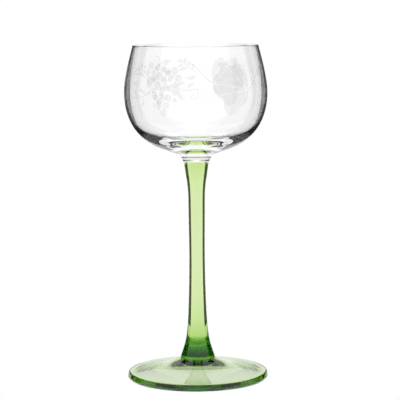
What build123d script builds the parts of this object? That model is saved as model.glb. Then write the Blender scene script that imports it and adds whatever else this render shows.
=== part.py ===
"""Stemmed wine glass: a clear round bowl fused to a green stem, fused to a green foot.

The frame is millimetres, +Z up. Z = 0 is the table, and the Z axis is the glass's own axis.
Each piece is a solid of revolution, drawn as a half section in XZ and turned about Z.
A section point is (radius, height).
"""

import os

from build123d import *

os.makedirs("parts", exist_ok=True)

# ---- driving dimensions ---------------------------------------------------------------
glass_height = 170.0          # table to the top of the rim
joint_height_bowl = 111.5     # where the clear bowl is fused to the stem
joint_height_foot = 11.8      # where the stem is fused to the boss of the foot
joint_radius_bowl = 6.85
joint_radius_foot = 8.5

# Bowl: outside
rim_radius = 31.8             # outside of the wall just under the rim
rim_bead_radius = 0.62        # the fire-polished edge is a little thicker than the wall
belly_radius = 36.15
belly_height = 146.0
shoulder = (35.1, 155.3)      # half way from the belly to the rim
turn = (34.15, 134.0)         # where the side turns in under the belly
hip = (28.8, 125.0)           # the roundest place of the under side
under_side = (20.2, 118.9)    # the shallow funnel under the bowl
neck_top = (12.0, 115.85)     # the funnel runs into the neck
neck_throat = (8.5, 114.15)

# Bowl: inside
wall_at_rim = 1.0
wall_at_belly = 1.1
floor_height = 119.6          # the inside floor, so the clear base is 8.1 thick
floor_centre = (9.0, 120.1)
floor_middle = (16.0, 121.3)
floor_edge = (23.0, 123.4)
inner_hip = (28.8, 127.5)
inner_turn = (32.9, 134.2)
inner_shoulder = (34.05, 155.3)

# Stem
stem_top_slope = (0.42, 1.0)  # the flare runs on, unbroken, into the neck of the bowl
stem_upper = (5.75, 106.6)
stem_shoulder = (4.7, 99.8)
stem_slim = (4.2, 88.0)
stem_waist = (3.98, 64.0)
stem_swell = (4.5, 38.0)
stem_lower = (5.25, 25.5)
stem_flare = (6.6, 17.6)

# Foot: the top spreads from the boss like the bell of a trumpet
foot_radius = 35.95           # the widest place, low on the edge
foot_edge_low = 1.2           # height of the widest place
foot_edge_top = (35.25, 3.6)
foot_brim = (26.3, 4.4)
foot_spread = (19.2, 6.0)
foot_throat = (12.4, 8.7)
boss_base = (8.85, 10.5)
ring_outer_radius = 34.9      # the glass stands on a flat ring
ring_inner_radius = 32.0
edge_rounding = 0.7

# Foot: the hollow underneath is a low cone, so the foot is an even shell
hollow_slope = (1.0, -0.287)  # 16 degrees
hollow_middle = (18.0, 4.01)
hollow_shoulder = (6.0, 7.46)
hollow_height = 8.23          # the hollow's rounded peak, on the axis

rim_centre = (rim_radius - wall_at_rim / 2, glass_height - rim_bead_radius)

# ---- bowl -----------------------------------------------------------------------------
with BuildPart() as bowl:
    with BuildSketch(Plane.XZ):
        with BuildLine():
            Line((0, joint_height_bowl), (joint_radius_bowl, joint_height_bowl))
            Spline(
                (joint_radius_bowl, joint_height_bowl),
                neck_throat,
                neck_top,
                tangents=(stem_top_slope, (1.0, 0.36)),
            )
            Spline(
                neck_top,
                under_side,
                hip,
                turn,
                (belly_radius, belly_height),
                tangents=((1.0, 0.36), (0.0, 1.0)),
            )
            Spline(
                (belly_radius, belly_height),
                shoulder,
                (rim_radius, rim_centre[1]),
                tangents=((0.0, 1.0), (-0.27, 1.0)),
            )
            Line((rim_radius, rim_centre[1]), (rim_radius - wall_at_rim, rim_centre[1]))
            Spline(
                (rim_radius - wall_at_rim, rim_centre[1]),
                inner_shoulder,
                (belly_radius - wall_at_belly, belly_height),
                tangents=((0.27, -1.0), (0.0, -1.0)),
            )
            Spline(
                (belly_radius - wall_at_belly, belly_height),
                inner_turn,
                inner_hip,
                floor_edge,
                floor_middle,
                floor_centre,
                (0, floor_height),
                tangents=((0.0, -1.0), (-1.0, 0.0)),
            )
            Line((0, floor_height), (0, joint_height_bowl))
        make_face()
        with Locations(rim_centre):
            Circle(rim_bead_radius)
    revolve(axis=Axis.Z)

# ---- stem -----------------------------------------------------------------------------
with BuildPart() as stem:
    with BuildSketch(Plane.XZ):
        with BuildLine():
            Line((0, joint_height_foot), (joint_radius_foot, joint_height_foot))
            Spline(
                (joint_radius_foot, joint_height_foot),
                stem_flare,
                stem_lower,
                stem_swell,
                stem_waist,
                stem_slim,
                stem_shoulder,
                stem_upper,
                (joint_radius_bowl, joint_height_bowl),
                tangents=((-0.32, 1.0), stem_top_slope),
            )
            Line((joint_radius_bowl, joint_height_bowl), (0, joint_height_bowl))
            Line((0, joint_height_bowl), (0, joint_height_foot))
        make_face()
    revolve(axis=Axis.Z)

# ---- foot -----------------------------------------------------------------------------
with BuildPart() as foot:
    with BuildSketch(Plane.XZ):
        with BuildLine():
            Spline(
                (0, hollow_height),
                hollow_shoulder,
                hollow_middle,
                (ring_inner_radius, 0),
                tangents=((1.0, 0.0), hollow_slope),
            )
            Polyline(
                (ring_inner_radius, 0),
                (ring_outer_radius, 0),
                (foot_radius, foot_edge_low),
                foot_edge_top,
            )
            Spline(
                foot_edge_top,
                foot_brim,
                foot_spread,
                foot_throat,
                boss_base,
                tangents=((-1.0, 0.05), (-1.0, 0.52)),
            )
            Polyline(
                boss_base,
                (joint_radius_foot, joint_height_foot),
                (0, joint_height_foot),
                (0, hollow_height),
            )
        foot_section = make_face()
        edge_corners = foot_section.vertices().filter_by_position(
            Axis.X, ring_outer_radius - 0.01, foot_radius + 0.01
        )
        fillet(edge_corners, radius=edge_rounding)
    revolve(axis=Axis.Z)

# ---- write ----------------------------------------------------------------------------
bowl.part.label = "bowl"
stem.part.label = "stem"
foot.part.label = "foot"

export_step(bowl.part, "parts/bowl.step")
export_step(stem.part, "parts/stem.step")
export_step(foot.part, "parts/foot.step")
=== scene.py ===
"""Looks for the wine glass: clear bowl, green stem and foot, and an etched band of grapes and vine.

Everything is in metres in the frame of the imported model: Z = 0 is the table, and the Z axis is the
glass's own axis. The glass is built in millimetres: a section's stations are (radius, height).
"""

import math

import bmesh
import bpy
import numpy as np
from mathutils import Matrix, Vector


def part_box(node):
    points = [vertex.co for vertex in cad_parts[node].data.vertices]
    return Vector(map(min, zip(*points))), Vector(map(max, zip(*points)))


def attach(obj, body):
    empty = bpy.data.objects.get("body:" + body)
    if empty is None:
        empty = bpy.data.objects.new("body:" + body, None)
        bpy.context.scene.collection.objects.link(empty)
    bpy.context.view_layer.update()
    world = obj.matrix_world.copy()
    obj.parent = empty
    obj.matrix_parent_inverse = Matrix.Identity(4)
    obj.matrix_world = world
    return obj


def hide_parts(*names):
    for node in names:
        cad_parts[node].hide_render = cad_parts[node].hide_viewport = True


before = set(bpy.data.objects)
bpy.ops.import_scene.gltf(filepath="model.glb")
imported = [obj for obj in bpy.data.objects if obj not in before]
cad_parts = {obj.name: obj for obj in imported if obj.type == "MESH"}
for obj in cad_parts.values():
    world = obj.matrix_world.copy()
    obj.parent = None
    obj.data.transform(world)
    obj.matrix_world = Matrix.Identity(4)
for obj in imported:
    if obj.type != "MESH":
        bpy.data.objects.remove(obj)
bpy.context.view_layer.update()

MM = 0.001
GLASS_IOR = 1.52
SEGMENTS = 192                # steps of a full turn on the lathe
SHARP_DEG = 28                # a corner that turns by more than this stays a crisp line
JOIN_OVERLAP = 0.02           # fused pieces run into each other by this much, as the hot glass does

# ---- heights from the frame -------------------------------------------------------------
bowl_low, bowl_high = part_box("bowl")
GLASS_HEIGHT = bowl_high.z / MM
JOINT_BOWL = bowl_low.z / MM
JOINT_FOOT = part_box("foot")[1].z / MM


# ---- section lines ----------------------------------------------------------------------
def smooth_line(stations, start, end, step=0.8):
    """Points every step along a curve that bends evenly through the stations, leaving and arriving
    in the given directions."""
    p = np.array(stations, float)
    gap = np.linalg.norm(np.diff(p, axis=0), axis=1)
    count = len(p)
    weights = np.eye(count)
    pull = np.zeros((count, 2))
    pull[0] = np.array(start) / np.linalg.norm(start)
    pull[-1] = np.array(end) / np.linalg.norm(end)
    for i in range(1, count - 1):
        before, after = gap[i - 1], gap[i]
        weights[i, i - 1:i + 2] = after, 2 * (before + after), before
        pull[i] = 3 * (after * (p[i] - p[i - 1]) / before + before * (p[i + 1] - p[i]) / after)
    heading = np.linalg.solve(weights, pull)
    line = []
    for i in range(count - 1):
        pieces = max(2, round(gap[i] / step))
        for t in np.arange(pieces) / pieces:
            line.append(
                (1 + 2 * t) * (1 - t) ** 2 * p[i]
                + t * (1 - t) ** 2 * gap[i] * heading[i]
                + t * t * (3 - 2 * t) * p[i + 1]
                - t * t * (1 - t) * gap[i] * heading[i + 1]
            )
    line.append(p[-1])
    return [tuple(q) for q in line]


def arc(centre, radius, start_deg, end_deg, steps):
    """Points round part of a circle, both ends included."""
    angles = np.radians(np.linspace(start_deg, end_deg, steps + 1))
    return [(centre[0] + radius * math.cos(a), centre[1] + radius * math.sin(a)) for a in angles]


def rounded(corners, steps=6):
    """A run of straight lines whose corners, (radius, height, rounding), are rounded off."""
    line = []
    for i, (r, z, rounding) in enumerate(corners):
        here = Vector((r, z))
        if not rounding:
            line.append((r, z))
            continue
        back = (Vector(corners[i - 1][:2]) - here).normalized()
        on = (Vector(corners[i + 1][:2]) - here).normalized()
        half = back.angle(on) / 2
        reach = rounding / math.tan(half)
        centre = here + (back + on).normalized() * (rounding / math.sin(half))
        first, last = here + back * reach - centre, here + on * reach - centre
        for k in range(steps + 1):
            spoke = first.lerp(last, k / steps).normalized() * rounding
            line.append(tuple(centre + spoke))
    return line


def new_object(name, bm):
    """An object at the origin with this mesh."""
    mesh = bpy.data.meshes.new(name)
    bm.to_mesh(mesh)
    bm.free()
    made = bpy.data.objects.new(name, mesh)
    bpy.context.scene.collection.objects.link(made)
    return made


def lathe(name, section):
    """A closed solid of revolution from a section that starts and ends on the axis."""
    bm = bmesh.new()
    verts = [bm.verts.new((r * MM, 0, z * MM)) for r, z in section]
    edges = [bm.edges.new(pair) for pair in zip(verts, verts[1:])]
    bmesh.ops.spin(
        bm, geom=verts + edges, cent=(0, 0, 0), axis=(0, 0, 1),
        angle=math.tau, steps=SEGMENTS, use_merge=True,
    )
    bmesh.ops.remove_doubles(bm, verts=bm.verts, dist=1e-7)
    bmesh.ops.recalc_face_normals(bm, faces=bm.faces)
    for face in bm.faces:
        face.smooth = True
    for edge in bm.edges:
        edge.smooth = edge.calc_face_angle(0) < math.radians(SHARP_DEG)
    return new_object(name, bm)


# ---- bowl -------------------------------------------------------------------------------
JOINT_RADIUS_BOWL = 6.85
STEM_TOP_SLOPE = (0.42, 1.0)  # the stem's flare runs on, unbroken, into the neck of the bowl
NECK_TOP = (12.0, 115.85)
NECK_TOP_SLOPE = (1.0, 0.36)
BELLY = (36.15, 146.0)
WALL_AT_BELLY = 1.1
FLOOR_HEIGHT = 119.6          # the middle of the inside floor
RIM_RADIUS = 31.8             # the outside of the wall just under the rim
WALL_AT_RIM = 1.0
BEAD = 0.62                   # the fire-polished rim is a little thicker than the wall
BEAD_GAP_DEG = 2              # the bead starts this many degrees past where its circle meets the wall,
BEAD_GAP = 0.1                # and the wall stops this far below that, so one line blends the two


def outer_wall():
    """The outside of the bowl, from the stem joint to the underside of the rim bead."""
    neck = smooth_line(
        [(JOINT_RADIUS_BOWL, JOINT_BOWL), (8.5, 114.15), NECK_TOP],
        STEM_TOP_SLOPE, NECK_TOP_SLOPE, step=0.4,
    )
    under = smooth_line(
        [NECK_TOP, (20.2, 118.9), (28.8, 125.0), (34.15, 134.0), BELLY],
        NECK_TOP_SLOPE, (0.0, 1.0),
    )
    side = smooth_line(
        [BELLY, (35.1, 155.3), (RIM_RADIUS, GLASS_HEIGHT - BEAD)],
        (0.0, 1.0), (-0.27, 1.0),
    )
    return neck[:-1] + under[:-1] + side


def inner_wall():
    """The inside of the bowl, from the rim bead to the middle of the floor."""
    inner_belly = (BELLY[0] - WALL_AT_BELLY, BELLY[1])
    side = smooth_line(
        [(RIM_RADIUS - WALL_AT_RIM, GLASS_HEIGHT - BEAD), (34.05, 155.3), inner_belly],
        (0.27, -1.0), (0.0, -1.0),
    )
    floor = smooth_line(
        [inner_belly, (32.9, 134.2), (28.8, 127.5), (23.0, 123.4), (16.0, 121.3), (9.0, 120.1),
         (0, FLOOR_HEIGHT)],
        (0.0, -1.0), (-1.0, 0.0),
    )
    return side[:-1] + floor


def make_bowl():
    middle = RIM_RADIUS - WALL_AT_RIM / 2
    top = GLASS_HEIGHT - BEAD
    reach = math.degrees(math.asin(WALL_AT_RIM / 2 / BEAD))
    start, end = reach - 90 + BEAD_GAP_DEG, 270 - reach - BEAD_GAP_DEG
    bead = arc((middle, top), BEAD, start, end, steps=16)
    outside = [p for p in outer_wall() if p[1] < bead[0][1] - BEAD_GAP]
    inside = [p for p in inner_wall() if p[1] < bead[-1][1] - BEAD_GAP]
    return lathe("bowl_clear_glass", [(0, JOINT_BOWL)] + outside + bead + inside)


# ---- stem -------------------------------------------------------------------------------
JOINT_RADIUS_FOOT = 8.5


def make_stem():
    foot_end, bowl_end = JOINT_FOOT - JOIN_OVERLAP, JOINT_BOWL + JOIN_OVERLAP
    side = smooth_line(
        [(JOINT_RADIUS_FOOT, JOINT_FOOT), (6.6, 17.6), (5.25, 25.5), (4.5, 38.0), (3.98, 64.0),
         (4.2, 88.0), (4.7, 99.8), (5.75, 106.6), (JOINT_RADIUS_BOWL, JOINT_BOWL)],
        (-0.32, 1.0), STEM_TOP_SLOPE,
    )
    section = [(0, foot_end), (JOINT_RADIUS_FOOT, foot_end)] + side[1:-1]
    section += [(JOINT_RADIUS_BOWL, bowl_end), (0, bowl_end)]
    return lathe("stem_green_glass", section)


# ---- foot -------------------------------------------------------------------------------
RING_INSIDE, RING_OUTSIDE = 32.0, 34.9     # the glass stands on a flat ring
EDGE_TOP_INSIDE = 34.0                     # the rounded edge ends here, on the top face
EDGE_GAP = 0.1                             # and the top face's own line starts this far inside it


def make_foot():
    hollow = smooth_line(
        [(0, 8.23), (6.0, 7.46), (18.0, 4.01), (RING_INSIDE, 0)],
        (1.0, 0.0), (1.0, -0.287),
    )
    edge = rounded([
        (RING_INSIDE, 0, 0), (RING_OUTSIDE, 0, 0.7), (35.95, 1.2, 0.7), (35.25, 3.6, 0.6),
        (EDGE_TOP_INSIDE, 3.72, 0),
    ])
    top = smooth_line(
        [(35.0, 3.65), (26.3, 4.4), (19.2, 6.0), (12.4, 8.7), (8.85, 10.5)],
        (-1.0, 0.05), (-1.0, 0.52),
    )
    top = [p for p in top if p[0] < EDGE_TOP_INSIDE - EDGE_GAP]
    boss = [(JOINT_RADIUS_FOOT, JOINT_FOOT), (0, JOINT_FOOT)]
    return lathe("foot_green_glass", hollow[:-1] + edge + top + boss)


# ---- etched band ------------------------------------------------------------------------
# Grapes, a vine leaf and a sprig, three times round the bowl. Stations are millimetres along the
# wall and up: a motif's own centre is 0 along, and each motif's centre is an angle round the bowl.
BAND_RADIUS = 35.8            # where millimetres along the wall become an angle
BAND_LIFT = 0.012             # the frost stands off the wall by this much
BAND_CELL = 1.0               # the pattern is cut to cells of this size, so that it can bend
REPEATS = 3
GRAPES_AT, LEAF_AT, SPRIG_AT = (math.radians(a) * BAND_RADIUS for a in (-25.5, 30.8, 68.0))

GRAPES = [                    # along, height, radius
    (-4.3, 159.8, 1.6), (-0.65, 159.2, 1.8), (1.4, 157.1, 1.7), (5.2, 158.5, 1.95),
    (7.35, 155.0, 1.95), (-3.0, 155.9, 1.6), (-6.3, 154.75, 1.5), (3.2, 154.75, 1.7),
    (-0.1, 153.35, 1.8), (-3.7, 151.5, 2.1), (5.8, 151.7, 1.35), (3.0, 150.1, 1.8),
    (-0.65, 149.6, 1.7), (5.8, 148.2, 1.5), (-5.3, 146.4, 1.5), (-1.4, 146.4, 1.7),
    (2.2, 145.4, 1.8), (-2.45, 143.6, 1.5), (0.9, 141.5, 1.95), (-3.2, 140.5, 1.0),
    (-0.65, 138.0, 1.5), (5.55, 144.3, 0.9),
]
GRAPE_SWELL = 1.2             # a grape with room round it is drawn this much larger,
GRAPE_SHARE = 0.49            # but takes no more than this share of the way to its neighbour
LEAF_STALK = (8.55, 148.5)
LOBE_SHARE = 0.955            # each lobe is drawn this much smaller, which leaves the veins clear
LEAF_LOBES = [                # the leaf's outline, vein tip to vein tip
    [(9.6, 151.9), (9.0, 156.4), (7.3, 160.2)],
    [(7.3, 160.2), (5.2, 161.5), (2.5, 163.0)],
    [(2.5, 163.0), (1.3, 160.5), (-1.5, 161.1), (-4.6, 162.5)],
    [(-4.6, 162.5), (-8.0, 161.9), (-6.6, 159.9), (-7.8, 157.3), (-9.9, 155.5), (-10.7, 151.9)],
    [(-10.7, 151.9), (-10.2, 148.9), (-8.6, 146.5)],
    [(-8.6, 146.5), (-6.3, 145.8), (-5.4, 144.4), (-5.2, 141.7), (-4.5, 138.9), (-2.4, 136.7),
     (-0.3, 135.8)],
    [(-0.3, 135.8), (2.3, 137.5), (3.6, 139.8), (5.6, 141.1)],
    [(5.6, 141.1), (7.9, 142.9), (9.2, 145.9)],
]
LINES = [                     # centre, width, stations
    (GRAPES_AT, 0.6, [(-6.1, 142.9), (-5.3, 140.3), (-4.0, 142.4), (-1.2, 140.3), (1.4, 138.7)]),
    (GRAPES_AT, 0.5, [(-0.2, 161.1), (0.6, 162.9), (3.0, 163.3)]),
    (SPRIG_AT, 0.6, [(-14.7, 148.5), (-11.5, 150.4), (-7.5, 154.4), (-4.4, 157.7), (-1.9, 159.2)]),
    (SPRIG_AT, 0.5, [(-5.1, 154.4), (-3.0, 156.1), (-0.7, 157.5), (1.5, 159.5), (3.35, 161.9)]),
    (SPRIG_AT, 0.6, [(7.5, 147.1), (5.0, 145.9), (-2.2, 144.9), (-6.0, 145.4)]),
    (SPRIG_AT, 0.5, [(-6.0, 145.4), (-6.4, 142.5), (-3.4, 140.0), (-2.2, 141.3), (-3.4, 142.4),
                     (-4.5, 141.5)]),
    (SPRIG_AT, 0.5, [(7.5, 147.1), (9.6, 150.4), (8.9, 154.5), (10.6, 157.3)]),
]
LEAFLET_TIP = 0.03            # a leaflet's taper is cut off this far from each end, as a share of it
LEAFLETS = [                  # width, stations, all on the sprig
    (1.7, [(-3.0, 156.1), (-3.7, 157.3), (-3.4, 158.8)]),
    (1.7, [(-0.7, 157.5), (-1.4, 158.8), (-0.9, 160.3)]),
    (1.7, [(1.3, 159.3), (0.7, 160.6), (1.2, 162.0)]),
    (1.6, [(2.2, 160.0), (3.5, 160.0), (4.9, 161.1)]),
    (1.6, [(1.5, 157.7), (3.1, 158.0), (4.7, 157.2)]),
    (1.7, [(-1.1, 156.5), (1.6, 156.4), (4.3, 155.1)]),
    (1.9, [(-5.1, 152.7), (-2.6, 151.1), (0.0, 151.8)]),
    (1.8, [(0.8, 148.9), (3.4, 148.2), (5.6, 146.1)]),
    (1.7, [(-4.3, 148.2), (-2.2, 147.5), (-0.6, 145.6)]),
    (1.9, [(4.3, 144.9), (3.7, 142.2), (1.9, 140.2)]),
    (1.8, [(8.9, 151.9), (7.4, 152.5), (6.3, 154.1)]),
    (1.8, [(9.2, 155.3), (11.0, 154.5), (12.6, 155.3)]),
]


def ribbon(bm, line, widths):
    """A flat strip along a line, with its own width at each point."""
    edge = None
    for i, point in enumerate(line):
        before, after = Vector(line[max(i - 1, 0)]), Vector(line[min(i + 1, len(line) - 1)])
        across = (after - before).normalized().orthogonal() * widths[i] / 2
        ends = [Vector((*(Vector(point) + way * across), 0)) for way in (1, -1)]
        if edge is None:
            edge = bm.edges.new([bm.verts.new(end) for end in ends])
            continue
        made = bmesh.ops.extrude_edge_only(bm, edges=[edge])["geom"]
        edge = next(g for g in made if isinstance(g, bmesh.types.BMEdge))
        left, right = edge.verts
        if (left.co - right.co).dot(ends[0] - ends[1]) < 0:
            left, right = right, left
        left.co, right.co = ends


def curve(stations, centre, step):
    """A smooth line through a motif's stations, moved to the motif's place along the wall."""
    placed = [(centre + u, z) for u, z in stations]
    start = Vector(placed[1]) - Vector(placed[0])
    end = Vector(placed[-1]) - Vector(placed[-2])
    return smooth_line(placed, tuple(start), tuple(end), step)


def draw_motifs(bm):
    """One repeat of the pattern, flat: X is millimetres along the wall, and Y is height."""
    for i, (u, z, r) in enumerate(GRAPES):
        nearest = min(math.dist((u, z), other[:2]) for k, other in enumerate(GRAPES) if k != i)
        bmesh.ops.create_circle(
            bm, cap_ends=True, segments=28, radius=min(GRAPE_SWELL * r, GRAPE_SHARE * nearest),
            matrix=Matrix.Translation((GRAPES_AT + u, z, 0)),
        )
    for outline in LEAF_LOBES:
        rim = [(LEAF_AT + LEAF_STALK[0], LEAF_STALK[1])] + curve(outline, LEAF_AT, 0.7)
        rim = [Vector((u, z, 0)) for u, z in rim]
        middle = sum(rim, Vector()) / len(rim)
        bm.faces.new([bm.verts.new(middle.lerp(point, LOBE_SHARE)) for point in rim])
    for centre, width, stations in LINES:
        line = curve(stations, centre, 0.5)
        ribbon(bm, line, [width] * len(line))
    for width, stations in LEAFLETS:
        line = curve(stations, SPRIG_AT, 0.3)
        taper = np.sin(np.pi * np.linspace(LEAFLET_TIP, 1 - LEAFLET_TIP, len(line)))
        ribbon(bm, line, width * taper)


def cut_to_cells(bm):
    """Cuts the flat pattern into small cells."""
    bmesh.ops.triangulate(bm, faces=bm.faces)
    low = [min(v.co[k] for v in bm.verts) for k in (0, 1)]
    high = [max(v.co[k] for v in bm.verts) for k in (0, 1)]
    for k, normal in enumerate(((1, 0, 0), (0, 1, 0))):
        for at in np.arange(low[k] + BAND_CELL, high[k], BAND_CELL):
            bmesh.ops.bisect_plane(
                bm, geom=bm.verts[:] + bm.edges[:] + bm.faces[:],
                plane_co=tuple(at * n for n in normal), plane_no=normal, dist=1e-4,
            )


def make_band():
    bm = bmesh.new()
    draw_motifs(bm)
    cut_to_cells(bm)
    wall_r, wall_z = np.array(outer_wall()).T
    for v in bm.verts:
        angle, z = v.co.x / BAND_RADIUS, v.co.y
        r = float(np.interp(z, wall_z, wall_r)) + BAND_LIFT
        v.co = Vector((r * math.sin(angle), -r * math.cos(angle), z)) * MM
    one = bm.verts[:] + bm.edges[:] + bm.faces[:]
    for turn in range(1, REPEATS):
        copy = bmesh.ops.duplicate(bm, geom=one)["geom"]
        bmesh.ops.rotate(
            bm, verts=[g for g in copy if isinstance(g, bmesh.types.BMVert)], cent=(0, 0, 0),
            matrix=Matrix.Rotation(math.tau * turn / REPEATS, 3, "Z"),
        )
    for face in bm.faces:
        face.normal_update()
        middle = face.calc_center_median()
        if face.normal.x * middle.x + face.normal.y * middle.y < 0:
            face.normal_flip()
        face.smooth = True
    return new_object("bowl_etched_band", bm)


# ---- materials --------------------------------------------------------------------------
def linear(hex_colour):
    """An sRGB hex colour as the linear RGBA that shaders take."""
    channels = [int(hex_colour[i:i + 2], 16) / 255 for i in (1, 3, 5)]
    return [c / 12.92 if c <= 0.04045 else ((c + 0.055) / 1.055) ** 2.4 for c in channels] + [1.0]


def add(tree, kind, links=None, **settings):
    """Adds a node with its settings. links gives an input's name and the socket that feeds it."""
    node = tree.nodes.new("ShaderNode" + kind)
    for key, value in settings.items():
        name = key.replace("_", " ")
        if hasattr(node, key) and name not in node.inputs:
            setattr(node, key, value)
        else:
            node.inputs[name].default_value = value
    for name, socket in (links or {}).items():
        tree.links.new(socket, node.inputs[name])
    return node


def new_material(name):
    material = bpy.data.materials.new(name)
    material.use_nodes = True
    tree = material.node_tree
    tree.nodes.clear()
    return material, tree, tree.nodes.new("ShaderNodeOutputMaterial")


def ramp(tree, factor, stops):
    """A colour that runs through (position, sRGB hex) stops as the factor goes from 0 to 1."""
    node = add(tree, "ValToRGB", {"Fac": factor})
    bar = node.color_ramp.elements
    while len(bar) < len(stops):
        bar.new(0.5)
    for element, (position, hex_colour) in zip(bar, stops):
        element.position = position
        element.color = linear(hex_colour)
    return node.outputs["Color"]


def math_node(tree, operation, a, b, c=0.0):
    """A Math node whose inputs are sockets or plain numbers."""
    node = add(tree, "Math", operation=operation)
    for socket, value in zip(node.inputs, (a, b, c)):
        if isinstance(value, bpy.types.NodeSocket):
            tree.links.new(value, socket)
        else:
            socket.default_value = value
    return node.outputs[0]


HAZE_SIZE = 6.0               # wiping leaves patches of about this size
HAZE_ROUGHNESS = 0.03
WAVE_STRENGTH = 0.5


def glass_surface(tree, where, wave_mm, wave_height_mm):
    """Links for fire-polished glass: smooth, with long low waves and a faint haze of wiping.

    The hidden faces where two pieces are fused are flat and have an IOR of 1, so light runs
    straight on.
    """
    height = add(tree, "SeparateXYZ", {"Vector": where}).outputs["Z"]
    at_bowl = math_node(tree, "COMPARE", height, JOINT_BOWL * MM, 2 * JOIN_OVERLAP * MM)
    at_foot = math_node(tree, "COMPARE", height, JOINT_FOOT * MM, 2 * JOIN_OVERLAP * MM)
    fused = math_node(tree, "MAXIMUM", at_bowl, at_foot)
    outside = math_node(tree, "SUBTRACT", 1.0, fused)
    wave = add(tree, "TexNoise", {"Vector": where}, Scale=1 / (wave_mm * MM), Detail=1.0)
    haze = add(tree, "TexNoise", {"Vector": where}, Scale=1 / (HAZE_SIZE * MM), Detail=4.0)
    roughness = math_node(tree, "MULTIPLY", haze.outputs[0], HAZE_ROUGHNESS)
    strength = math_node(tree, "MULTIPLY", outside, WAVE_STRENGTH)
    bump = add(
        tree, "Bump", {"Height": wave.outputs[0], "Strength": strength},
        Distance=wave_height_mm * MM,
    )
    return {
        "IOR": math_node(tree, "MULTIPLY_ADD", fused, 1.0 - GLASS_IOR, GLASS_IOR),
        "Roughness": math_node(tree, "MULTIPLY", roughness, outside),
        "Normal": bump.outputs["Normal"],
    }


def clear_glass():
    """Blown soda-lime glass: colourless and fire-polished, with slow waves left by the blowing."""
    material, tree, output = new_material("soda_lime_glass_clear")
    where = tree.nodes.new("ShaderNodeTexCoord").outputs["Object"]
    surface = glass_surface(tree, where, wave_mm=14, wave_height_mm=0.02)
    glass = add(tree, "BsdfPrincipled", surface, Transmission_Weight=1.0)
    glass.inputs["Base Color"].default_value = linear("#FFFFFF")
    tree.links.new(glass.outputs[0], output.inputs["Surface"])
    return material


GREEN_PER_METRE = (46.0, 22.0, 105.0)    # how fast red, green and blue are absorbed
ABSORPTION_DENSITY = 130.0
FOOT_COLOUR = "#DBE2D6"       # a faint tint at the foot's surfaces, over the absorption
STEM_RAMP_TOP = 50.0          # the height at the end of the stem's colour ramp
STEM_PAINTED_SHADE = [               # height, tint: painted shade, a deep green painted into the stem's surface colour, deepest in the flare just over the foot and fading out higher up
    (11.8, "#227300"), (13.2, "#227300"), (13.8, "#76C219"), (19.0, "#76C219"),
    (20.2, "#E1F3CB"), (30.0, "#F3FCED"), (42.0, "#FFFFFF"),
]


def green_glass(name, is_stem):
    """Green-tinted soda-lime glass: pale where it is thin, deep where it is thick. On the stem, painted
    shade in the surface colour also deepens the green low down.
    """
    material, tree, output = new_material(name)
    where = tree.nodes.new("ShaderNodeTexCoord").outputs["Object"]
    surface = glass_surface(tree, where, wave_mm=18, wave_height_mm=0.015)
    glass = add(tree, "BsdfPrincipled", surface, Transmission_Weight=1.0)
    glass.inputs["Base Color"].default_value = linear(FOOT_COLOUR)
    if is_stem:
        # Painted shade: the stem's surface colour runs from deep green in the flare over the foot to
        # clear above. It stands in for the green shade seen through the lower stem.
        height = add(tree, "SeparateXYZ", {"Vector": where}).outputs["Z"]
        up = math_node(tree, "DIVIDE", height, STEM_RAMP_TOP * MM)
        stops = [(z / STEM_RAMP_TOP, colour) for z, colour in STEM_PAINTED_SHADE]
        tree.links.new(ramp(tree, up, stops), glass.inputs["Base Color"])
    tree.links.new(glass.outputs[0], output.inputs["Surface"])
    absorb = add(tree, "VolumeAbsorption", Density=ABSORPTION_DENSITY)
    passed = [1 - a / ABSORPTION_DENSITY for a in GREEN_PER_METRE]
    absorb.inputs["Color"].default_value = (*passed, 1.0)
    tree.links.new(absorb.outputs[0], output.inputs["Volume"])
    return material


FROST_COVER = 0.17            # how much of what is behind the frost hides
FROST_GRIT = 0.35             # coarser than real, so that it shows
FROST_PATCH = 3.0


def etched_frost():
    """Acid-etched glass: a thin white frost of fine grit, without gloss, that is mostly see-through."""
    material, tree, output = new_material("acid_etched_glass")
    where = tree.nodes.new("ShaderNodeTexCoord").outputs["Object"]
    grit = add(tree, "TexNoise", {"Vector": where}, Scale=1 / (FROST_GRIT * MM), Detail=3.0)
    patch = add(tree, "TexNoise", {"Vector": where}, Scale=1 / (FROST_PATCH * MM), Detail=2.0)
    bump = add(tree, "Bump", {"Height": grit.outputs[0]}, Strength=0.6, Distance=0.03 * MM)
    frost = add(
        tree, "BsdfPrincipled",
        {
            "Base Color": ramp(tree, patch.outputs[0], [(0.3, "#E3E7E7"), (0.7, "#F6F7F7")]),
            "Roughness": math_node(tree, "MULTIPLY_ADD", grit.outputs[0], 0.3, 0.65),
            "Normal": bump.outputs["Normal"],
        },
        Alpha=FROST_COVER, IOR=GLASS_IOR,
    )
    tree.links.new(frost.outputs[0], output.inputs["Surface"])
    return material


# ---- pieces -----------------------------------------------------------------------------
bowl, stem, foot, band = make_bowl(), make_stem(), make_foot(), make_band()
for piece, node, slot, material in (
    (bowl, "bowl", "clear_glass", clear_glass()),
    (band, "bowl", "clear_glass", etched_frost()),
    (stem, "stem", "green_glass", green_glass("soda_lime_glass_green_stem", True)),
    (foot, "foot", "green_glass", green_glass("soda_lime_glass_green_foot", False)),
):
    piece.data.materials.append(material)
    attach(piece, "root")
    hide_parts(node)

# ---- camera -----------------------------------------------------------------------------
scene = bpy.context.scene
camera_data = bpy.data.cameras.new("camera")
camera = bpy.data.objects.new("camera", camera_data)
scene.collection.objects.link(camera)
scene.camera = camera
camera_data.sensor_width = 36.0
camera_data.lens = 161.055
camera_data.clip_end = 10
camera.location = (0, -0.9022, 0.1986)
camera.rotation_euler = (math.radians(90 - 6.78), math.radians(0.44), math.radians(-0.162))

# ---- stage ------------------------------------------------------------------------------
world = bpy.data.worlds.new("white_studio")
scene.world = world
world.use_nodes = True
world.node_tree.nodes["Background"].inputs["Color"].default_value = (1, 1, 1, 1)
world.node_tree.nodes["Background"].inputs["Strength"].default_value = 1.02

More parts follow.
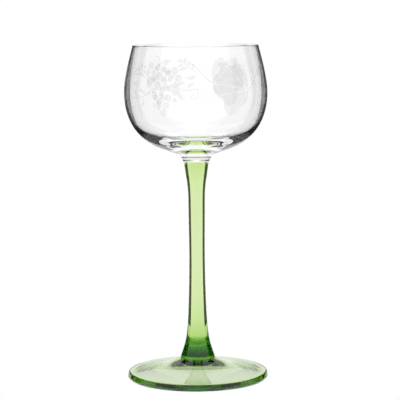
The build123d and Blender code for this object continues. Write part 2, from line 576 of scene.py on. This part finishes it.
floor_bm = bmesh.new()
bmesh.ops.create_grid(floor_bm, x_segments=1, y_segments=1, size=4.0)
floor = new_object("floor", floor_bm)
floor.location = (0, 0, -0.0001)          # just clear of the ring that the glass stands on
floor_material, floor_tree, floor_out = new_material("floor_white")
table = add(floor_tree, "BsdfPrincipled", Roughness=0.6, Emission_Strength=1.0)
table.inputs["Base Color"].default_value = (0, 0, 0, 1)
table.inputs["Specular IOR Level"].default_value = 0.0
table.inputs["Emission Color"].default_value = (1, 1, 1, 1)
floor_tree.links.new(table.outputs[0], floor_out.inputs["Surface"])
floor.data.materials.append(floor_material)

# Dark cards curved round the glass. The camera doesn't see them, and they turn with it. The two at
# the sides show only in the glass, and give it its dark edges. The one in front shades only the
# frost.
CARD_OPEN = 33.0              # degrees left open on each side of straight behind
CARD_END = 97.0               # the side cards stop here, so the glass has an open front too
FRONT_CARD_HALF = 110.0       # the front card reaches this far to each side of straight ahead
CARD_RADIUS, CARD_BOTTOM, CARD_TOP = 0.08, -0.3, 0.5
CARD_GLOW = 0.05


def dark_card(name, from_deg, to_deg, seen_by):
    """An upright card swept round the Z axis; 0 degrees is straight behind the glass."""
    bm = bmesh.new()
    start = math.radians(from_deg)
    outward = Vector((math.sin(start), math.cos(start), 0)) * CARD_RADIUS
    verts = [bm.verts.new(outward + Vector((0, 0, z))) for z in (CARD_BOTTOM, CARD_TOP)]
    bmesh.ops.spin(
        bm, geom=verts + [bm.edges.new(verts)], cent=(0, 0, 0), axis=(0, 0, 1),
        angle=math.radians(from_deg - to_deg), steps=64,
    )
    card = new_object(name, bm)
    card.data.materials.append(card_dark)
    card.visible_camera = False
    card.visible_shadow = False
    card.visible_diffuse = seen_by == "frost"
    card.visible_glossy = card.visible_transmission = seen_by == "glass"
    card.parent = camera
    card.matrix_parent_inverse = camera.matrix_basis.inverted()


card_dark, card_tree, card_out = new_material("card_dark")
dark = add(card_tree, "Emission", Strength=1.0)
dark.inputs["Color"].default_value = (CARD_GLOW, CARD_GLOW, CARD_GLOW, 1)
card_tree.links.new(dark.outputs[0], card_out.inputs["Surface"])
dark_card("card_right", CARD_OPEN, CARD_END, "glass")
dark_card("card_left", 360 - CARD_END, 360 - CARD_OPEN, "glass")
dark_card("card_front", 180 - FRONT_CARD_HALF, 180 + FRONT_CARD_HALF, "frost")

scene.view_settings.view_transform = "Standard"
scene.cycles.max_bounces = 32
scene.cycles.transmission_bounces = 32
scene.cycles.glossy_bounces = 16
scene.cycles.transparent_max_bounces = 32
scene.cycles.sample_clamp_indirect = 0
